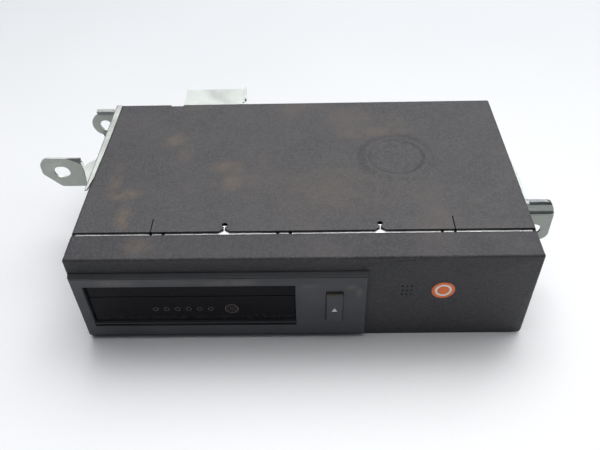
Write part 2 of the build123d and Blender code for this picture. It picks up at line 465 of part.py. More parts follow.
PITCH = math.pi * MODULE
RACK_Z = PINION_Z - PINION_TEETH * MODULE / 2
fc = cam(27.8, 29.0)
k = 0
x = PINION_X + PITCH / 2
teeth = []
for k in range(-13, 2):
    x = PINION_X + (k + 0.5) * PITCH
    if x > 103.2 or x < 60:
        continue
    teeth.append(prism_y([(x - 0.95, 42.0), (x - 0.30, RACK_Z + 0.8), (x + 0.30, RACK_Z + 0.8), (x + 0.95, 42.0)], 27.8, 29.0))
for t in teeth:
    fc += t
parts["front_cam_plate"] = fc
parts["rear_cam_plate"] = cam(157.2, 158.4)
parts["cam_link"] = (bx(60.0, 72.0, 27.8, 158.4, 2.4, 3.6) + bx(60.0, 72.0, 27.8, 29.0, 3.6, 6.0)
                     + bx(60.0, 72.0, 157.2, 158.4, 3.6, 6.0))

# geared motor and its pinion
gm = bx(88.0, 112.0, 8.0, G0, 38.5, 60.0)
gm = fillet([e for e in gm.edges().filter_by(Axis.Y)], 2.0)
gm += cx(62.0, 88.0, 16.6, 47.5, 8.0) + cx(60.0, 62.0, 16.6, 47.5, 3.0)
gm -= cy(PINION_X, 23.0, G0 + 1, PINION_Z, PIN_R + RUN)
parts["lift_gearmotor"] = gm
pts = []
rp = PINION_TEETH * MODULE / 2
for i in range(PINION_TEETH):
    a = -math.pi / 2 + i * 2 * math.pi / PINION_TEETH
    for r, h in ((rp - 1.25, 0.95), (rp, 0.60), (rp + 0.8, 0.28)):
        pts.append((r, a - h / r))
    for r, h in ((rp + 0.8, 0.28), (rp, 0.60), (rp - 1.25, 0.95)):
        pts.append((r, a + h / r))
pts = [(PINION_X + r * math.cos(a), PINION_Z + r * math.sin(a)) for r, a in pts]
pinion = prism_y(pts, 27.7, 29.1) + cy(PINION_X, 23.3, 29.6, PINION_Z, PIN_R)
parts["lift_pinion"] = pinion

# ---------------------------------------------------------------- lift frame and deck
lf = bx(4.0, 135.5, 29.9, 156.3, 6.0, 7.0) - bx(24.0, 128.0, 48.0, 132.0, 5, 8)
for y0, y1 in ((29.4, 30.4), (155.8, 156.8)):
    lf += bx(34.0, 112.0, y0, y1, 6.0, 18.0)
lf += bx(4.0, 5.0, 148.0, 155.8, 7.0, 19.0) + bx(133.0, 134.0, 148.0, 155.8, 7.0, 19.0)
lf -= cx(3, 6, 151.5, 16.0, 1.5) + cx(132, 135, 151.5, 16.0, 1.5)
lf -= cx(3, 6, 151.5, 10.4, 1.5 + RUN)
ISO = [(14.0, 40.0), (14.0, 140.0), (126.0, 40.0), (126.0, 140.0)]
for x, y in ISO:
    lf -= cz(x, y, 5, 8, 1.5)
for x in PIN_X:
    lf -= cy(x, 29, 31, PIN_Z, 1.5) + cy(x, 155, 158, PIN_Z, 1.5)
parts["lift_frame"] = lf
pins = []
for x in PIN_X:
    pins.append(cy(x, 25.6, 29.4, PIN_Z, LIFT_PIN_R) + cy(x, 29.4, 31.0, PIN_Z, 1.5))
    pins.append(cy(x, 156.8, 160.0, PIN_Z, LIFT_PIN_R) + cy(x, 155.2, 156.8, PIN_Z, 1.5))
parts["lift_pins"] = pins
iso = []
for x, y in ISO:
    b = cz(x, y, 7.0, DECK_Z, 4.6) - cz(x, y, 9.2, 11.0, 6.0) + cz(x, y, 9.1, 11.1, 3.4)
    iso.append(b - cz(x, y, 6, 15, 1.5))
parts["isolators"] = (iso)
parts["isolator_screws"] = [cz(x, y, 5.0, DECK_Z + 1.0, 1.5) + cz(x, y, DECK_Z + 1.0, DECK_Z + 2.4, 2.8)
                            + cz(x, y, 4.2, 6.0, 2.6) for x, y in ISO]
dk = bx(8.0, 135.0, 33.0, 146.6, DECK_Z, DECK_Z + 1.0)
dk = fillet(edges_at(dk, Axis.Z, x=(0, 140)), 3.0)
dk -= bx(76.5, 131.5, 70.0, 122.6, 12, 16)
dk -= bx(51.0, 76.6, 113.4, 124.8, 12, 16)
dk -= cz(EMBOSS_X, EMBOSS_Y, 12, 16, 4.0)
dk -= bx(20.0, 44.0, 56.0, 130.0, 12, 16)
for x, y in ISO:
    dk -= cz(x, y, 12, 16, 1.5)
for y0 in (64.0, 122.8):
    dk += bx(128.0, 134.6, y0, y0 + 1.2, DECK_Z + 1.0, 27.0) + cy(CLAMP_X, y0, y0 + 1.2, CLAMP_Z, 3.1)
    dk -= cy(CLAMP_X, y0 - 0.5, y0 + 1.7, CLAMP_Z, 1.5)
for y in (73.5, 113.5):
    dk += bx(74.9, 76.3, y - 2.4, y + 2.4, 10.2, DECK_Z + 0.2) + bx(131.7, 133.0, y - 2.4, y + 2.4, 10.2, DECK_Z + 0.2)
    dk -= cx(74, 77, y, 12.4, 1.5) + cx(131, 134, y, 12.4, 1.5)
dk += bx(131.7, 133.0, 116.6, 121.4, 10.2, DECK_Z + 0.2)
dk -= cx(131, 134, 119.0, 12.4, 1.3 + RUN)
parts["deck_plate"] = dk
sm = cz(EMBOSS_X, EMBOSS_Y, 5.2, DECK_Z, 12.0)
sm = fillet(sm.edges().filter_by(GeomType.CIRCLE).sort_by(Axis.Z)[0], 1.0)
sm -= cz(EMBOSS_X, EMBOSS_Y, 7.4, 15, 1.0 + RUN)
parts["spindle_motor"] = sm
tt = cz(EMBOSS_X, EMBOSS_Y, 15.0, DISC_Z - 1.0, 12.6) + cz(EMBOSS_X, EMBOSS_Y, DISC_Z - 1.0, DISC_Z, 13.0)
tt -= cz(EMBOSS_X, EMBOSS_Y, DISC_Z - 0.6, DISC_Z + 1, 9.5)
cone = Pos(EMBOSS_X, EMBOSS_Y, DISC_Z + 0.1) * Cone(7.2, 6.0, 3.4)
tt += cone
tt += cz(EMBOSS_X, EMBOSS_Y, 7.6, 15.2, 1.0)
parts["turntable"] = tt
sl_ = bx(LENS_X - 10, LENS_X + 9, 77.0, 110.0, 10.8, 17.0)
sl_ = fillet([e for e in sl_.edges().filter_by(Axis.Z)], 2.0)
sl_ += bx(LENS_X - 7, LENS_X + 6, 71.2, 77.2, 10.0, 14.9) + bx(LENS_X - 7, LENS_X + 6, 109.8, 115.8, 10.0, 14.9)
sl_ += bx(LENS_X - 5, LENS_X + 3, 115.6, 121.6, 10.0, 14.9)
sl_ += cz(LENS_X, EMBOSS_Y, 16.8, 17.8, 5.5)
sl_ -= cz(LENS_X, EMBOSS_Y, 16.2, 19, 2.4)
for y in (73.5, 113.5):
    sl_ -= cx(LENS_X - 8, LENS_X + 7, y, 12.4, 1.5 + RUN)
sl_ -= cx(LENS_X - 8, LENS_X + 7, 119.0, 12.4, 1.3 + RUN)
parts["optical_sled"] = sl_
lens = cz(LENS_X, EMBOSS_Y, 16.2, 17.6, 2.4)
dome = Pos(LENS_X, EMBOSS_Y, 17.6 - 3.0) * Sphere(3.84)
lens += dome & cz(LENS_X, EMBOSS_Y, 17.5, 19, 2.4)
parts["pickup_lens"] = lens
parts["sled_rails"] = [cx(74.9, 133.0, y, 12.4, 1.5) for y in (73.5, 113.5)]
ls = cx(71.0, 132.8, 119.0, 12.4, 1.3)
parts["lead_screw"] = ls
mo = cx(52.0, 74.0, 119.0, 12.4, 5.0) + cx(74.0, 74.6, 119.0, 12.4, 2.6)
mo -= cx(70.6, 76.0, 119.0, 12.4, 1.3 + RUN)
parts["sled_motor"] = mo

# ---------------------------------------------------------------- clamp
ca = prism_z([(127.0, 66.4), (127.0, 121.6), (84.0, 107.0), (63.5, 107.0), (63.5, 80.0), (84.0, 80.0)], 25.8, 27.0)
ca += cz(EMBOSS_X, EMBOSS_Y, 25.8, 27.0, 13.5)
ca -= cz(EMBOSS_X, EMBOSS_Y, 25, 28, 8.3)
for y0 in (66.4, 120.4):
    ca += bx(126.0, 131.5, y0, y0 + 1.2, 25.8, 29.0) + cy(CLAMP_X, y0, y0 + 1.2, CLAMP_Z, 2.9)
    ca -= cy(CLAMP_X, y0 - 0.5, y0 + 1.7, CLAMP_Z, 1.5 + RUN)
for s in (-1, 1):
    ca += prism_z([(84.0, EMBOSS_Y + s * 13.5), (127.0, EMBOSS_Y + s * 27.1), (127.0, EMBOSS_Y + s * 25.9), (84.0, EMBOSS_Y + s * 12.3)]
                  if s > 0 else
                  [(84.0, EMBOSS_Y - 12.3), (127.0, EMBOSS_Y - 25.9), (127.0, EMBOSS_Y - 27.1), (84.0, EMBOSS_Y - 13.5)],
                  26.8, 30.0)
parts["clamp_arm"] = ca
parts["clamp_pivot"] = cy(CLAMP_X, 63.4, 124.6, CLAMP_Z, 1.5)
cl = cz(EMBOSS_X, EMBOSS_Y, 21.2, 23.4, 14.0) + cz(EMBOSS_X, EMBOSS_Y, 23.4, 27.8, 7.7) + cz(EMBOSS_X, EMBOSS_Y, 27.8, 29.0, 10.4)
cl -= cz(EMBOSS_X, EMBOSS_Y, 20, 23.0, 8.2)
parts["clamper"] = cl

# ---------------------------------------------------------------- disc transfer
ts = bx(6.2, 20.0, 148.6, 154.0, 13.4, 18.6) + bx(6.2, 9.2, 153.8, 155.0, 15.0, 22.4) + bx(10.0, 18.0, 149.0, 154.0, 8.2, 13.6)
ts -= cx(5, 22, 151.5, 16.0, 1.5 + RUN)
ts -= cx(5, 22, 151.5, 10.4, 1.5 + RUN)
parts["transfer_slider"] = ts
parts["transfer_rod"] = cx(4.0, 134.0, 151.5, 16.0, 1.5)
parts["transfer_screw"] = cx(4.0, 127.0, 151.5, 10.4, 1.5)
tm = cx(121.6, 132.4, 151.5, 10.4, 3.35) + bx(124.0, 131.0, 149.8, 153.2, 7.0, 8.0)
tm -= cx(121.0, 127.6, 151.5, 10.4, 1.5 + RUN)
parts["transfer_motor"] = tm

# ---------------------------------------------------------------- flat cable between board and deck
fx = [(-9.0, 8.9), (3.0, 8.9), (9.0, 9.6), (19.0, 12.95)]
th = 0.25
poly = [(a, b) for a, b in fx] + [(a, b + th) for a, b in reversed(fx)]
parts["flat_cable"] = prism_y(poly, 100.0, 116.0)

# ---------------------------------------------------------------- move to the origin and write
os.makedirs("parts", exist_ok=True)
to_origin = Pos(0, -CASE_D / 2, 0)
for name, shape in parts.items():
    if isinstance(shape, list):
        moved = Compound([to_origin * s for item in shape for s in item.solids()])
    else:
        moved = to_origin * shape
    export_step(moved, os.path.join("parts", name + ".step"))
print(len(parts), "nodes")
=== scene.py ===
import json
import math
import random

import bmesh
import bpy
from mathutils import Matrix, Vector, noise


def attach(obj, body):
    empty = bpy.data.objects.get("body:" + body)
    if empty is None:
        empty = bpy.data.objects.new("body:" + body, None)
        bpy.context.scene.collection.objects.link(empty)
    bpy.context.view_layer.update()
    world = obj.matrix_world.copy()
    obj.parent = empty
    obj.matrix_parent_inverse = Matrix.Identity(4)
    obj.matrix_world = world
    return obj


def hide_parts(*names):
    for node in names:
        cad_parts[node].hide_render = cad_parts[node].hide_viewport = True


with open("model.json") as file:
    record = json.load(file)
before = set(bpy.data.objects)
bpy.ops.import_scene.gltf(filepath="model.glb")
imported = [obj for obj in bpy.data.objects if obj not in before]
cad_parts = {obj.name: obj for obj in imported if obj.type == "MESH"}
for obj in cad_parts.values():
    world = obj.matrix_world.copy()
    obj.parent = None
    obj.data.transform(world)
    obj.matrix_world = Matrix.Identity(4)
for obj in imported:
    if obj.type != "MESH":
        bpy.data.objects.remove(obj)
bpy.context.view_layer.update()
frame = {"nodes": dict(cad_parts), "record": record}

nodes = frame["nodes"]
scene = bpy.context.scene
rnd = random.Random(7)

# Lengths in this file are written in millimetres and scaled once. Y0 is the front face.
MM = 0.001
Y0 = -80.75


def P(x, y, z):
    return Vector((x * MM, y * MM, z * MM))


# ------------------------------------------------------------------ material graphs
class Mat:
    """A small builder for one procedural material; coordinates are the object's own, in metres."""

    def __init__(self, name, metallic=0.0, rough=0.5, spec=None, coat=None, coat_rough=None, ior=None, trans=None):
        self.m = bpy.data.materials.new(name)
        self.m.use_nodes = True
        self.nt = self.m.node_tree
        self.nt.nodes.clear()
        self.out = self.nt.nodes.new("ShaderNodeOutputMaterial")
        self.b = self.nt.nodes.new("ShaderNodeBsdfPrincipled")
        self.nt.links.new(self.b.outputs[0], self.out.inputs[0])
        self.b.inputs["Metallic"].default_value = metallic
        self.b.inputs["Roughness"].default_value = rough
        for key, v in (("Specular IOR Level", spec), ("Coat Weight", coat), ("Coat Roughness", coat_rough), ("IOR", ior),
                       ("Transmission Weight", trans)):
            if v is not None:
                self.b.inputs[key].default_value = v
        self.tc = self.nt.nodes.new("ShaderNodeTexCoord")
        self.vec = self.tc.outputs["Object"]

    def put(self, socket, value):
        if hasattr(value, "is_linked") or hasattr(value, "links"):
            self.nt.links.new(value, socket)
        else:
            socket.default_value = value

    def scaled(self, s, loc=(0, 0, 0), rot=(0, 0, 0)):
        n = self.nt.nodes.new("ShaderNodeMapping")
        n.inputs["Location"].default_value = loc
        n.inputs["Rotation"].default_value = rot
        n.inputs["Scale"].default_value = s
        self.nt.links.new(self.vec, n.inputs["Vector"])
        return n.outputs[0]

    def noise(self, scale, detail=2.0, rough=0.5, vec=None, dist=0.0):
        n = self.nt.nodes.new("ShaderNodeTexNoise")
        n.inputs["Scale"].default_value = scale
        n.inputs["Detail"].default_value = detail
        n.inputs["Roughness"].default_value = rough
        n.inputs["Distortion"].default_value = dist
        self.nt.links.new(vec or self.vec, n.inputs["Vector"])
        return n.outputs["Fac"]

    def cells(self, scale, feature="SMOOTH_F1", vec=None, rand=1.0, smooth=0.6):
        n = self.nt.nodes.new("ShaderNodeTexVoronoi")
        n.feature = feature
        n.inputs["Scale"].default_value = scale
        n.inputs["Randomness"].default_value = rand
        if feature == "SMOOTH_F1":
            n.inputs["Smoothness"].default_value = smooth
        self.nt.links.new(vec or self.vec, n.inputs["Vector"])
        return n.outputs["Distance"]

    def spangle(self, scale, vec=None):
        n = self.nt.nodes.new("ShaderNodeTexVoronoi")
        n.inputs["Scale"].default_value = scale
        self.nt.links.new(vec or self.vec, n.inputs["Vector"])
        s = self.nt.nodes.new("ShaderNodeSeparateColor")
        self.nt.links.new(n.outputs["Color"], s.inputs[0])
        return s.outputs[0]

    def math(self, op, a, b=0.0, c=None, clamp=False):
        n = self.nt.nodes.new("ShaderNodeMath")
        n.operation = op
        n.use_clamp = clamp
        self.put(n.inputs[0], a)
        self.put(n.inputs[1], b)
        if c is not None:
            self.put(n.inputs[2], c)
        return n.outputs[0]

    def span(self, v, a, b, lo=0.0, hi=1.0, smooth=True):
        n = self.nt.nodes.new("ShaderNodeMapRange")
        n.interpolation_type = "SMOOTHSTEP" if smooth else "LINEAR"
        self.put(n.inputs["Value"], v)
        n.inputs["From Min"].default_value = a
        n.inputs["From Max"].default_value = b
        n.inputs["To Min"].default_value = lo
        n.inputs["To Max"].default_value = hi
        return n.outputs["Result"]

    def mix(self, fac, a, b, mode="MIX"):
        n = self.nt.nodes.new("ShaderNodeMix")
        n.data_type = "RGBA"
        n.blend_type = mode
        n.clamp_factor = True
        self.put(n.inputs[0], fac)
        self.put(n.inputs[6], a if hasattr(a, "links") or hasattr(a, "is_linked") else (*a, 1.0))
        self.put(n.inputs[7], b if hasattr(b, "links") or hasattr(b, "is_linked") else (*b, 1.0))
        return n.outputs[2]

    def xyz(self):
        n = self.nt.nodes.new("ShaderNodeSeparateXYZ")
        self.nt.links.new(self.vec, n.inputs[0])
        return n.outputs

    def blob(self, x, y, z, rx, ry, rz, soft=1.0):
        """1 at a point, fading to 0 on an ellipsoid, in millimetres."""
        s = (1 / (rx * MM), 1 / (ry * MM), 1 / (rz * MM))
        v = self.scaled(s, (-x / rx, -y / ry, -z / rz))
        n = self.nt.nodes.new("ShaderNodeVectorMath")
        n.operation = "LENGTH"
        self.nt.links.new(v, n.inputs[0])
        return self.span(n.outputs["Value"], 1.0 + 0.5 * soft, 1.0 - 0.9 * soft)

    def bump(self, height, dist, strength=1.0, normal=None):
        n = self.nt.nodes.new("ShaderNodeBump")
        n.inputs["Strength"].default_value = strength
        n.inputs["Distance"].default_value = dist
        self.nt.links.new(height, n.inputs["Height"])
        if normal is not None:
            self.nt.links.new(normal, n.inputs["Normal"])
        return n.outputs[0]

    def edges(self, radius_mm):
        """1 on convex and concave edges, from the difference between the rounded and the plain normal."""
        bev = self.nt.nodes.new("ShaderNodeBevel")
        bev.samples = 4
        bev.inputs["Radius"].default_value = radius_mm * MM
        geo = self.nt.nodes.new("ShaderNodeNewGeometry")
        dot = self.nt.nodes.new("ShaderNodeVectorMath")
        dot.operation = "DOT_PRODUCT"
        self.nt.links.new(bev.outputs[0], dot.inputs[0])
        self.nt.links.new(geo.outputs["Normal"], dot.inputs[1])
        return self.span(dot.outputs["Value"], 0.99, 0.8)

    def up(self):
        """How far the surface faces up, 0 to 1."""
        geo = self.nt.nodes.new("ShaderNodeNewGeometry")
        s = self.nt.nodes.new("ShaderNodeSeparateXYZ")
        self.nt.links.new(geo.outputs["Normal"], s.inputs[0])
        return self.span(s.outputs[2], 0.3, 0.9)

    def color(self, v):
        self.nt.links.new(v, self.b.inputs["Base Color"])

    def rough(self, v):
        self.nt.links.new(v, self.b.inputs["Roughness"])

    def normal(self, v):
        self.nt.links.new(v, self.b.inputs["Normal"])


def crinkle_paint(name, base, stains=(), dust_and_top_light=0.5, bump=1.0, rough=0.57, shade=()):
    """Coarse crinkle coating: worm-like lumps a millimetre or two across, with dust in it."""
    g = Mat(name, rough=rough, spec=0.5)
    warp = g.noise(260, 2.0, 0.5)
    lumps = g.noise(1050, 2.0, 0.5, dist=0.5)
    cell = g.cells(640, smooth=0.9)
    fine = g.noise(3000, 2.0, 0.6)
    h = g.math("ADD", g.math("MULTIPLY", lumps, 0.9), g.math("MULTIPLY", cell, -0.5))
    h = g.math("ADD", h, g.math("MULTIPLY", fine, 0.22))
    h = g.math("ADD", h, g.math("MULTIPLY", warp, 0.35))
    broad = g.noise(22, 4.0, 0.55)
    wide = g.noise(7, 3.0, 0.5)
    dark = tuple(c * 0.78 for c in base)
    light = tuple(c * 1.25 for c in base)
    col = g.mix(g.span(h, 0.30, 0.85), dark, light)
    col = g.mix(g.span(broad, 0.35, 0.7, 0.0, 0.55), col, tuple(c * 1.25 for c in (base[0] * 1.06, base[1], base[2] * 0.95)))
    dust = g.math("MULTIPLY", g.span(broad, 0.42, 0.75), g.span(wide, 0.38, 0.65))
    dust = g.math("MULTIPLY", g.math("MULTIPLY", dust, g.up()), dust_and_top_light)
    mask = dust
    for x, y, z, rx, ry, amount, soft in stains:
        s = g.math("MULTIPLY", g.blob(x, y, z, rx, ry, 12.0, soft), g.span(g.noise(90, 4.0, 0.65), 0.25, 0.62))
        mask = g.math("MAXIMUM", mask, g.math("MULTIPLY", s, amount))
    col = g.mix(mask, col, (0.152, 0.118, 0.092))
    for x, y, z, rx, ry, rz, amount in shade:
        col = g.mix(g.math("MULTIPLY", g.blob(x, y, z, rx, ry, rz, 1.0), amount), col, tuple(c * 0.3 for c in base))
    # pale specks of lint and chipped paint
    fleck = g.math("MULTIPLY", g.span(g.noise(1500, 1.0, 0.5), 0.73, 0.80), g.span(g.noise(40, 3.0, 0.6), 0.5, 0.7))
    col = g.mix(g.math("MULTIPLY", fleck, 0.55), col, (0.34, 0.33, 0.31))
    worn = g.math("MULTIPLY", g.edges(0.7), g.span(g.noise(300, 3.0, 0.6), 0.45, 0.7))
    col = g.mix(g.math("MULTIPLY", worn, 0.5), col, tuple(c * 2.6 for c in base))
    g.color(col)
    r = g.math("ADD", g.span(h, 0.3, 0.9, 0.05, -0.07), g.math("MULTIPLY", mask, 0.16))
    g.rough(g.math("ADD", r, rough, clamp=True))
    g.normal(g.bump(h, 0.00034 * bump, 1.0))
    return g.m


def smooth_plastic(name, base, rough=0.42, grain=0.00005, grain_scale=2400, dust_and_top_light=0.25, wear=0.4, spec=0.5, smear=0.1, marks=()):
    """Moulded plastic: fine spark-eroded grain, faint smears, pale colour on what faces up, which is dust and, where it
    is strong as on the button, a painted highlight, and polished edges.
    """
    g = Mat(name, rough=rough, spec=spec)
    fine = g.noise(grain_scale, 2.0, 0.6)
    broad = g.noise(30, 4.0, 0.6)
    smears = g.noise(16, 3.0, 0.5, vec=g.scaled((1.0, 1.0, 3.2), rot=(0.3, 0.5, 0.0)), dist=0.8)
    col = g.mix(g.span(fine, 0.3, 0.7), tuple(c * 0.86 for c in base), tuple(c * 1.12 for c in base))
    col = g.mix(g.span(broad, 0.35, 0.7, 0.0, 0.3), col, tuple(c * 1.4 for c in base))
    # pale colour on up-facing faces: dust, and where the amount is large (the button) a painted highlight of light
    # falling from above
    dust = g.math("MULTIPLY", g.math("MULTIPLY", g.span(broad, 0.3, 0.7), g.up()), dust_and_top_light)
    col = g.mix(dust, col, (0.16, 0.145, 0.125))
    for x, y, z, rx, ry, rz, amount in marks:
        m = g.math("MULTIPLY", g.blob(x, y, z, rx, ry, rz, 0.8), g.span(g.noise(170, 4.0, 0.6), 0.2, 0.6))
        col = g.mix(g.math("MULTIPLY", m, amount), col, (0.115, 0.105, 0.098))
    edge = g.math("MULTIPLY", g.edges(0.35), wear)
    col = g.mix(edge, col, tuple(min(1.0, c * 2.2 + 0.01) for c in base))
    g.color(col)
    r = g.math("ADD", g.span(smears, 0.35, 0.7, -smear, smear), rough)
    r = g.math("ADD", r, g.math("MULTIPLY", dust, 0.4), clamp=True)
    g.rough(r)
    g.normal(g.bump(fine, grain, 1.0))
    return g.m


def fold_shade(g, x, z, dx, dz, y0, y1):
    """1 inside the corner triangle whose right angle is at (x, z), in millimetres, between two depths."""
    px, py, pz = g.xyz()
    a = g.math("DIVIDE", g.math("SUBTRACT", x * MM, px), dx * MM)
    b = g.math("DIVIDE", g.math("SUBTRACT", z * MM, pz), dz * MM)
    t = g.span(g.math("ADD", g.math("ABSOLUTE", a), g.math("ABSOLUTE", b)), 1.12, 0.88)
    return g.math("MULTIPLY", t, g.math("MULTIPLY", g.math("GREATER_THAN", py, y0 * MM), g.math("LESS_THAN", py, y1 * MM)))


def plated(name, base, rough=0.34, brushed=(1, 14, 14), spangle=0.0, grime=0.25, tint=(0.32, 0.33, 0.26), edge=0.5, bump=0.00004,
           dark=(), painted_fold_shades=(), painted_shade_colour=(0.10, 0.095, 0.115), painted_lit_top=None):
    """Plated sheet steel: rolling lines, cloudy passivation, bright worn edges and a little grime, with optional
    painted shade at bends and struts and a paler painted lit top.
    """
    g = Mat(name, metallic=1.0, rough=rough)
    roll = g.noise(160, 4.0, 0.65, vec=g.scaled(brushed))
    cloud = g.noise(34, 4.0, 0.6, dist=0.5)
    spots = g.noise(420, 3.0, 0.6)
    col = g.mix(g.span(cloud, 0.32, 0.68), tuple(c * 0.84 for c in base), tuple(min(1.0, c * 1.08) for c in base))
    col = g.mix(g.span(roll, 0.3, 0.7, 0.0, 0.35), col, tuple(c * 0.78 for c in base))
    if spangle:
        col = g.mix(g.math("MULTIPLY", g.spangle(170), spangle), col, tuple(c * 0.66 for c in base))
    dirt = g.math("MULTIPLY", g.span(cloud, 0.55, 0.75), g.span(spots, 0.4, 0.65))
    col = g.mix(g.math("MULTIPLY", dirt, grime), col, tint)
    # painted light: faces that look up are mixed to a paler colour, as if lit from above
    if painted_lit_top:
        col = g.mix(g.up(), col, g.mix(g.span(cloud, 0.32, 0.68), tuple(c * 0.92 for c in painted_lit_top), painted_lit_top))
    # painted shade: dark blobs at bends, lips and struts of the brackets that stand in shade
    for x, y, z, rx, ry, rz, amount in dark:
        col = g.mix(g.math("MULTIPLY", g.blob(x, y, z, rx, ry, rz, 0.25), amount), col, painted_shade_colour)
    # painted shade: a dark triangle where the left bracket's flange folds
    for x, z, dx, dz, y0, y1, amount in painted_fold_shades:
        col = g.mix(g.math("MULTIPLY", fold_shade(g, x, z, dx, dz, y0, y1), amount), col, painted_shade_colour)
    worn = g.math("MULTIPLY", g.edges(0.3), edge)
    col = g.mix(worn, col, tuple(min(1.0, c * 1.3) for c in base))
    g.color(col)
    r = g.math("ADD", g.span(roll, 0.3, 0.7, -0.06, 0.08), g.span(cloud, 0.3, 0.7, -0.05, 0.1))
    g.rough(g.math("ADD", r, rough, clamp=True))
    g.normal(g.bump(g.math("ADD", roll, g.math("MULTIPLY", spots, 0.5)), bump, 1.0))
    return g.m


def turned(name, base, rough=0.22, axis="x", pitch=None, depth=0.00022):
    """Turned or ground steel with fine rings round its axis; with a pitch, the rings are a thread."""
    g = Mat(name, metallic=1.0, rough=rough)
    x, y, z = g.xyz()
    along = {"x": x, "y": y, "z": z}[axis]
    rings = g.noise(1.0, 2.0, 0.6, vec=g.scaled({"x": (2600, 60, 60), "y": (60, 2600, 60), "z": (60, 60, 2600)}[axis]))
    col = g.mix(g.span(rings, 0.3, 0.7), tuple(c * 0.8 for c in base), base)
    col = g.mix(g.span(g.noise(60, 3.0, 0.6), 0.5, 0.75, 0.0, 0.3), col, (0.3, 0.27, 0.2))
    g.color(col)
    g.rough(g.span(rings, 0.3, 0.7, rough - 0.06, rough + 0.12))
    if pitch:
        w = g.math("SINE", g.math("MULTIPLY", along, 2 * math.pi / (pitch * MM)))
        g.normal(g.bump(w, depth, 1.0))
    else:
        g.normal(g.bump(rings, 0.00002, 1.0))
    return g.m


def board():
    g = Mat("board_green", rough=0.4, coat=0.3, coat_rough=0.2)
    tracks = g.cells(150, "DISTANCE_TO_EDGE", vec=g.scaled((1.0, 0.35, 1.0)), rand=0.55)
    fine = g.noise(900, 2.0, 0.5)
    line = g.span(tracks, 0.02, 0.06, 1.0, 0.0)
    col = g.mix(line, (0.012, 0.075, 0.03), (0.03, 0.16, 0.07))
    pads = g.span(g.cells(330, "F1", rand=0.35), 0.16, 0.12, 0.0, 1.0)
    col = g.mix(g.math("MULTIPLY", pads, 0.8), col, (0.45, 0.42, 0.36))
    col = g.mix(g.span(fine, 0.4, 0.8, 0.0, 0.2), col, (0.1, 0.1, 0.08))
    g.color(col)
    g.rough(g.span(fine, 0.3, 0.7, 0.3, 0.5))
    g.normal(g.bump(g.math("ADD", line, pads), 0.00006, 1.0))
    return g.m


def rubbery(name, base):
    g = Mat(name, rough=0.75, spec=0.3)
    n = g.noise(700, 3.0, 0.6)
    bloom = g.noise(120, 3.0, 0.6)
    g.color(g.mix(g.span(bloom, 0.45, 0.7, 0.0, 0.5), g.mix(g.span(n, 0.3, 0.7), base, tuple(c * 1.5 for c in base)), (0.14, 0.135, 0.13)))
    g.rough(g.span(n, 0.3, 0.7, 0.62, 0.85))
    g.normal(g.bump(n, 0.0001, 1.0))
    return g.m


def gloss_flap():
    """Dark glossy flap: nearly black, with wiping marks and a little dust along its lower edge."""
    g = Mat("flap_gloss", rough=0.2, spec=0.09)
    wipe = g.noise(30, 4.0, 0.6, vec=g.scaled((0.5, 1, 2.2), rot=(0, 0.25, 0)), dist=1.2)
    fine = g.noise(1800, 2.0, 0.6)
    x, y, z = g.xyz()
    low = g.span(z, 0.0235, 0.0165)
    dust = g.math("MULTIPLY", low, g.span(g.noise(240, 4.0, 0.65), 0.35, 0.7))
    col = g.mix(g.span(wipe, 0.35, 0.7), (0.0042, 0.0040, 0.0068), (0.0075, 0.0072, 0.011))
    col = g.mix(g.math("MULTIPLY", dust, 0.35), col, (0.06, 0.055, 0.05))
    edge = g.math("MULTIPLY", g.edges(0.3), 0.5)
    col = g.mix(edge, col, (0.035, 0.037, 0.043))
    g.color(col)
    g.rough(g.math("ADD", g.span(wipe, 0.3, 0.72, 0.1, 0.27), g.math("MULTIPLY", dust, 0.4), clamp=True))
    g.normal(g.bump(fine, 0.000006, 1.0))
    return g.m


def label_mat(cx, cz):
    """Round orange label with a pale rim and slightly lifted, dirty edge."""
    g = Mat("label_orange", rough=0.38, spec=0.5, coat=0.2, coat_rough=0.25)
    v = g.scaled((1.0, 0.0, 1.0), (-cx * MM, 0.0, -cz * MM))
    n = g.nt.nodes.new("ShaderNodeVectorMath")
    n.operation = "LENGTH"
    g.nt.links.new(v, n.inputs[0])
    r = n.outputs["Value"]
    grain = g.noise(900, 3.0, 0.6)
    orange = g.mix(g.span(grain, 0.3, 0.7), (0.95, 0.15, 0.012), (1.0, 0.21, 0.024))
    rim = g.math("MULTIPLY", g.span(r, 0.0036, 0.00375), g.span(r, 0.0052, 0.00505))
    col = g.mix(rim, orange, (1.0, 0.93, 0.88))
    col = g.mix(g.math("MULTIPLY", g.span(g.noise(260, 4.0, 0.7), 0.5, 0.72), 0.16), col, (0.5, 0.2, 0.09))
    col = g.mix(g.math("MULTIPLY", g.span(r, 0.0068, 0.00705), 0.4), col, (0.3, 0.16, 0.10))
    g.color(col)
    g.rough(g.span(grain, 0.3, 0.7, 0.3, 0.46))
    g.normal(g.bump(grain, 0.00002, 1.0))
    return g.m


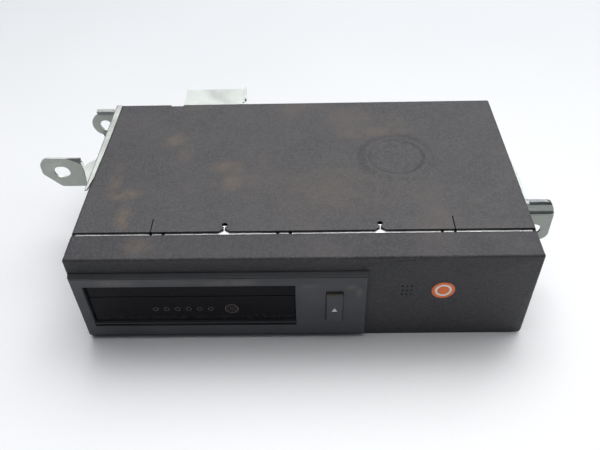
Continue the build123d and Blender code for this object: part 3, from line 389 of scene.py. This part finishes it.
# ------------------------------------------------------------------ the materials themselves
TOP = 71.5
STAINS = [(-89.2, 35.9, TOP, 8.0, 8.5, 0.75, 1.0), (-80.1, 20.6, TOP, 6.5, 10.0, 0.55, 1.0), (-50.7, 3.3, TOP, 12.0, 9.0, 0.6, 1.0),
          (-45.5, -11.5, TOP, 8.0, 9.0, 0.6, 1.0), (-116.1, -23.2, TOP, 11.0, 6.0, 0.85, 1.0), (-110.9, -45.0, TOP, 5.5, 13.0, 0.8, 1.0),
          (44.6, 41.8, TOP, 26.0, 8.0, 0.5, 1.0), (66.0, 52.0, TOP, 8.0, 14.0, 0.4, 1.0), (-123.0, -8.0, TOP, 5.0, 18.0, 0.5, 1.0),
          (-97.7, -68.7, TOP, 11.0, 9.0, 0.5, 1.0), (20.0, -20.0, TOP, 55.0, 26.0, 0.3, 1.0)]
M = {}
M["textured_paint"] = crinkle_paint("cover_crinkle", (0.057, 0.0555, 0.061), STAINS, dust_and_top_light=0.5)
M["textured_bezel"] = crinkle_paint("bezel_crinkle", (0.039, 0.0385, 0.0455), STAINS[-2:-1], dust_and_top_light=0.2, bump=1.1,
                                     shade=[(-75.0, Y0 - 1.0, 62.5, 110.0, 5.0, 9.0, 0.75)])
YP = Y0 - 3.0
M["panel_plastic"] = smooth_plastic("panel_satin", (0.043, 0.0445, 0.052), rough=0.46, dust_and_top_light=0.12, marks=[
    (-112.0, YP, 54.2, 12.0, 4.0, 2.8, 0.9), (-41.0, YP, 53.6, 17.0, 4.0, 2.9, 0.95), (-75.0, YP, 54.2, 14.0, 4.0, 1.6, 0.3),
    (29.4, YP, 49.0, 4.5, 4.0, 2.6, 0.6), (34.0, YP, 44.2, 2.2, 4.0, 4.6, 0.7), (4.4, YP, 50.0, 6.0, 4.0, 2.0, 0.4)])
M["flap_plastic"] = gloss_flap()
# the button's top face is painted pale here as a painted highlight of light from above, not only dust
M["button_plastic"] = smooth_plastic("button_satin_lit_top", (0.040, 0.0415, 0.049), rough=0.40, wear=0.5, dust_and_top_light=1.6)
M["mark_print"] = smooth_plastic("mark_print", (0.72, 0.72, 0.70), rough=0.5, wear=0.0, dust_and_top_light=0.0)
M["label_paper"] = label_mat(84.8, 42.2)
M["zinc"] = plated("zinc_plate", (0.46, 0.48, 0.45), rough=0.40, spangle=0.25, grime=0.3)
M["zinc_bright"] = plated("zinc_bright", (0.54, 0.555, 0.55), rough=0.33, spangle=0.15, grime=0.12)
M["screw_steel"] = turned("screw_steel", (0.55, 0.53, 0.46), rough=0.32, axis="x", pitch=None)
M["spring_steel"] = turned("spring_steel", (0.5, 0.5, 0.52), rough=0.28)
M["black_plastic"] = smooth_plastic("black_moulded", (0.017, 0.017, 0.019), rough=0.5, grain=0.00008, grain_scale=1600)
M["white_plastic"] = smooth_plastic("natural_moulded", (0.70, 0.67, 0.58), rough=0.42, wear=0.15, dust_and_top_light=0.1)
M["contact_brass"] = turned("tinned_brass", (0.82, 0.70, 0.42), rough=0.25, axis="y")
M["board"] = board()
M["chip"] = smooth_plastic("chip_epoxy", (0.012, 0.012, 0.013), rough=0.58, grain=0.00004)
M["capacitor"] = smooth_plastic("capacitor_sleeve", (0.012, 0.02, 0.06), rough=0.3, grain=0.00001, wear=0.2)
M["motor_can"] = turned("motor_can", (0.60, 0.60, 0.57), rough=0.3, axis="x")
M["isolator_rubber"] = rubbery("isolator_rubber", (0.035, 0.03, 0.028))
M["lens_glass"] = smooth_plastic("lens_glass", (0.10, 0.12, 0.30), rough=0.06, grain=0.000001, wear=0.0, dust_and_top_light=0.05, spec=0.9, smear=0.02)
M["cable_film"] = smooth_plastic("cable_film", (0.60, 0.60, 0.54), rough=0.35, wear=0.1)
M["shaft_steel"] = turned("ground_steel", (0.72, 0.72, 0.71), rough=0.14)
M["lead_thread"] = turned("lead_thread", (0.66, 0.66, 0.64), rough=0.2, axis="x", pitch=3.0, depth=0.0004)
M["transfer_thread"] = turned("transfer_thread", (0.66, 0.66, 0.64), rough=0.2, axis="x", pitch=12.0, depth=0.0006)

# zinc_left, zinc_right and zinc_rear are one zinc painted at three brightnesses for how light falls: the right bracket
# darker as painted shade, the rear tab paler as painted light; their dark entries and fold triangle are painted shade,
# their paler up-facing colour painted light
M["zinc_left"] = plated("zinc_left", (0.44, 0.46, 0.43), rough=0.40, spangle=0.25, grime=0.3, painted_lit_top=(0.62, 0.645, 0.62), painted_fold_shades=[
    (-155.4, 68.8, 9.0, 5.2, Y0 + 99.0, Y0 + 100.4, 0.8)], dark=[
    (-148.5, Y0 + 87.5, 54.0, 9.4, 13.6, 10.6, 0.8),
    (-151.5, Y0 + 160.0, 65.9, 8.5, 2.0, 1.6, 0.6), (-155.0, Y0 + 160.0, 46.4, 3.0, 3.0, 4.0, 0.5)])
M["zinc_right"] = plated("zinc_right", (0.34, 0.36, 0.335), rough=0.36, spangle=0.2, grime=0.3, dark=[
    (146.0, Y0 + 52.0, 66.2, 9.0, 3.0, 1.4, 0.4), (150.0, Y0 + 50.0, 59.6, 22.0, 3.0, 0.5, 0.4), (150.0, Y0 + 50.0, 57.0, 22.0, 3.0, 0.45, 0.3)],
    painted_shade_colour=(0.13, 0.14, 0.165), painted_lit_top=(0.44, 0.47, 0.47))
M["zinc_rear"] = plated("zinc_rear", (0.60, 0.63, 0.61), rough=0.42, spangle=0.12, grime=0.06)
slot_of = {s["node"]: s["material_slot"] for s in frame["record"]["subparts"]}
for name, obj in nodes.items():
    mat = M[slot_of[name]]
    if name == "lead_screw":
        mat = M["lead_thread"]
    if name == "transfer_screw":
        mat = M["transfer_thread"]
    if name in ("left_bracket", "right_bracket", "rear_bracket"):
        mat = M["zinc_" + name.split("_")[0]]
    obj.data.materials.clear()
    obj.data.materials.append(mat)


# ------------------------------------------------------------------ the coated shells, with the coating's lumps in geometry
def coated(node, name, planes, outer, amp, size):
    """A finely divided copy of a shell, whose coated outer faces rise and sink a little. outer(co) is 0 to 1."""
    src = nodes[node]
    bm = bmesh.new()
    bm.from_mesh(src.data)
    bmesh.ops.remove_doubles(bm, verts=bm.verts, dist=1e-6)
    bmesh.ops.dissolve_limit(bm, angle_limit=math.radians(0.05), verts=bm.verts, edges=bm.edges)
    for axis, start, stop, step, low in planes:
        n = Vector((0, 0, 0))
        n[axis] = 1.0
        k = start
        while k < stop:
            co = Vector((0, 0, 0))
            co[axis] = k * MM
            sel = [f for f in bm.faces if f.calc_center_median().z > low * MM]
            geom = list({e for f in sel for e in f.edges} | {v for f in sel for v in f.verts}) + sel
            bmesh.ops.bisect_plane(bm, geom=geom, plane_co=co, plane_no=n, dist=1e-7)
            k += step
    bm.normal_update()
    for v in bm.verts:
        w = outer(v.co / MM)
        if w > 0.0:
            q = v.co / (size * MM)
            d = noise.noise(q) * 0.6 + noise.noise(q * 2.1 + Vector((7.0, 3.0, 1.0))) * 0.45
            v.co += v.normal * (d * amp * w * MM)
    me = bpy.data.meshes.new(name)
    bm.to_mesh(me)
    bm.free()
    me.materials.append(M[slot_of[node]])
    for poly in me.polygons:
        poly.use_smooth = True
    me.set_sharp_from_angle(angle=math.radians(38))
    ob = bpy.data.objects.new(name, me)
    scene.collection.objects.link(ob)
    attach(ob, "case")
    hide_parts(node)
    return ob


def bezel_outer(c):
    if c.z > 70.0 and c.y < Y0 + 20.0:
        return 1.0
    if c.y < Y0 + 0.6 and c.z > 56.0:
        return 1.0 if c.x > 40.0 or c.z > 66.0 else 0.0
    return 0.0


coated("front_bezel", "bezel_coated", [(0, -139.0, 139.5, 1.3, 60.0), (1, Y0 + 0.6, Y0 + 20.5, 1.3, 69.0), (2, 62.0, 71.3, 0.9, 60.0)],
       bezel_outer, 0.30, 3.6)


# ------------------------------------------------------------------ helpers for added pieces
def mesh_object(name, verts, faces, mat, body, smooth=False):
    me = bpy.data.meshes.new(name)
    me.from_pydata([tuple(Vector(v) * MM) for v in verts], [], faces)
    bm = bmesh.new()
    bm.from_mesh(me)
    bmesh.ops.recalc_face_normals(bm, faces=bm.faces)
    bm.to_mesh(me)
    bm.free()
    me.materials.append(mat)
    for p in me.polygons:
        p.use_smooth = smooth
    ob = bpy.data.objects.new(name, me)
    scene.collection.objects.link(ob)
    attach(ob, body)
    return ob


def ring_print(verts, faces, cx, cz, r0, r1, y0, y1, n=48, a0=0.0, a1=2 * math.pi):
    """Thin raised ring or arc of ink facing -Y."""
    closed = abs(a1 - a0 - 2 * math.pi) < 1e-6
    m = n if closed else n + 1
    base = len(verts)
    for i in range(m):
        a = a0 + (a1 - a0) * i / n
        c, s = math.cos(a), math.sin(a)
        for r, y in ((r0, y0), (r1, y0), (r1, y1), (r0, y1)):
            verts.append((cx + r * c, y, cz + r * s))
    for i in range(n):
        j = (i + 1) % m
        for k in range(4):
            l = (k + 1) % 4
            faces.append((base + 4 * i + k, base + 4 * j + k, base + 4 * j + l, base + 4 * i + l))
    if not closed:
        faces.append(tuple(base + k for k in range(4)))
        faces.append(tuple(base + 4 * n + k for k in reversed(range(4))))


def plate_print(verts, faces, pts, y0, y1):
    """Thin raised polygon of ink, points (x, z)."""
    b, n = len(verts), len(pts)
    for y in (y0, y1):
        for x, z in pts:
            verts.append((x, y, z))
    faces.append(tuple(range(b, b + n)))
    faces.append(tuple(reversed(range(b + n, b + 2 * n))))
    for i in range(n):
        j = (i + 1) % n
        faces.append((b + i, b + j, b + n + j, b + n + i))


# ------------------------------------------------------------------ plain pictograms on the flap: six small rings and a larger one
ink = smooth_plastic("flap_ink", (0.058, 0.044, 0.030), rough=0.5, wear=0.0, dust_and_top_light=0.0)
V, F = [], []
yf = Y0 - 0.6
for i in range(6):
    ring_print(V, F, -92.2 + 6.9 * i, 27.2, 1.25, 1.75, yf - 0.04, yf + 0.02, n=28)
ring_print(V, F, -44.6, 27.2, 3.5, 4.3, yf - 0.04, yf + 0.02)
ring_print(V, F, -44.6, 27.2, 2.45, 2.8, yf - 0.04, yf + 0.02, n=36)
ring_print(V, F, -44.6, 27.2, 0.8, 1.3, yf - 0.04, yf + 0.02, n=24)
mesh_object("flap_pictogram", V, F, ink, "flap")

# ------------------------------------------------------------------ leads of the chips on the board
V, F = [], []
for x0, x1, y0, y1, h in ((-88, -70, 52, 70, 8.8), (-60, -46, 48, 62, 8.6), (-110, -98, 90, 108, 9.0), (-62, -44, 80, 92, 8.8),
                          (-118, -110, 60, 72, 8.2), (-36, -26, 60, 72, 8.4)):
    n = int((y1 - y0 - 1.5) / 1.27)
    for side, x in ((-1, x0), (1, x1)):
        for i in range(n):
            y = y0 + 1.2 + i * 1.27 + Y0
            b = len(V)
            zt = 6.6 + (h - 6.6) * 0.55
            prof = [(0.0, zt), (0.55, zt), (0.75, zt - 0.15), (0.95, 6.85), (1.5, 6.8), (1.5, 6.62), (0.8, 6.64), (0.5, zt - 0.22), (0.0, zt - 0.2)]
            for yy in (y - 0.2, y + 0.2):
                for dx, z in prof:
                    V.append((x + side * dx, yy, z))
            m = len(prof)
            F.append(tuple(range(b, b + m)))
            F.append(tuple(reversed(range(b + m, b + 2 * m))))
            for k in range(m):
                l = (k + 1) % m
                F.append((b + k, b + l, b + m + l, b + m + k))
mesh_object("chip_leads", V, F, M["contact_brass"], "case")

# ------------------------------------------------------------------ floor
g = Mat("floor_pale", rough=0.55, spec=0.35)
n = g.noise(3.0, 3.0, 0.5)
fine = g.noise(240, 3.0, 0.6)
c = g.mix(g.span(n, 0.3, 0.7), (0.89, 0.90, 0.92), (0.92, 0.93, 0.945))
# painted shade: the floor's colour darkens towards the back, standing in for the light falling off there
c = g.mix(g.span(g.xyz()[1], -0.85, -0.1), c, (0.70, 0.715, 0.74))
g.color(g.mix(g.span(fine, 0.4, 0.8, 0.0, 0.05), c, (0.68, 0.69, 0.71)))
g.rough(g.span(n, 0.3, 0.7, 0.42, 0.6))
bpy.ops.mesh.primitive_plane_add(size=6.0, location=(0, 0.6, 0))
floor = bpy.context.object
floor.name = "floor"
floor.data.materials.append(g.m)

# ------------------------------------------------------------------ soft light
def area(name, loc, target, size_x, size_y, power, colour):
    data = bpy.data.lights.new(name, "AREA")
    data.shape = "RECTANGLE"
    data.size = size_x
    data.size_y = size_y
    data.energy = power
    data.color = colour
    ob = bpy.data.objects.new(name, data)
    ob.location = loc
    ob.rotation_euler = (Vector(target) - Vector(loc)).to_track_quat("-Z", "Y").to_euler()
    scene.collection.objects.link(ob)
    return ob


area("key_back", (0.35, 1.55, 2.5), (0, 0, 0), 2.5, 2.1, 53, (1.0, 0.995, 0.99))
area("back_left", (-1.4, 1.3, 2.4), (0, 0, 0), 2.0, 2.0, 12, (1.0, 1.0, 1.0))
area("back_right", (1.7, 1.0, 2.2), (0, 0, 0), 2.0, 2.0, 22, (1.0, 1.0, 1.0))
area("overhead", (0.1, 0.2, 3.0), (0, 0, 0), 2.6, 2.6, 39, (1.0, 1.0, 1.0))
area("side_right", (1.8, 0.2, 1.1), (0, 0, 0), 1.2, 1.2, 3, (1.0, 1.0, 1.0))
world = bpy.data.worlds.new("studio")
scene.world = world
world.use_nodes = True
bg = world.node_tree.nodes["Background"]
bg.inputs[0].default_value = (0.86, 0.93, 1.0, 1.0)
bg.inputs[1].default_value = 0.10
scene.view_settings.view_transform = "Standard"
scene.view_settings.look = "None"

# ------------------------------------------------------------------ camera at the photograph's viewing angle
pitch, yaw, roll = math.radians(43.517), math.radians(1.635), math.radians(-1.779)
right = Vector((math.cos(yaw), math.sin(yaw), 0.0))
ahead = Vector((-math.sin(yaw) * math.cos(pitch), math.cos(yaw) * math.cos(pitch), -math.sin(pitch)))
above = right.cross(ahead)
r_ = right * math.cos(roll) + above * math.sin(roll)
u_ = above * math.cos(roll) - right * math.sin(roll)
cam_data = bpy.data.cameras.new("camera")
cam_data.sensor_fit = "HORIZONTAL"
cam_data.sensor_width = 36.0
cam_data.lens = 643.10 * 36.0 / 600.0
cam_data.clip_start = 0.01
cam = bpy.data.objects.new("camera", cam_data)
back = -ahead
cam.matrix_world = Matrix(((r_.x, u_.x, back.x, 0.00678), (r_.y, u_.y, back.y, -0.33573), (r_.z, u_.z, back.z, 0.33998), (0, 0, 0, 1)))
scene.collection.objects.link(cam)
scene.camera = cam
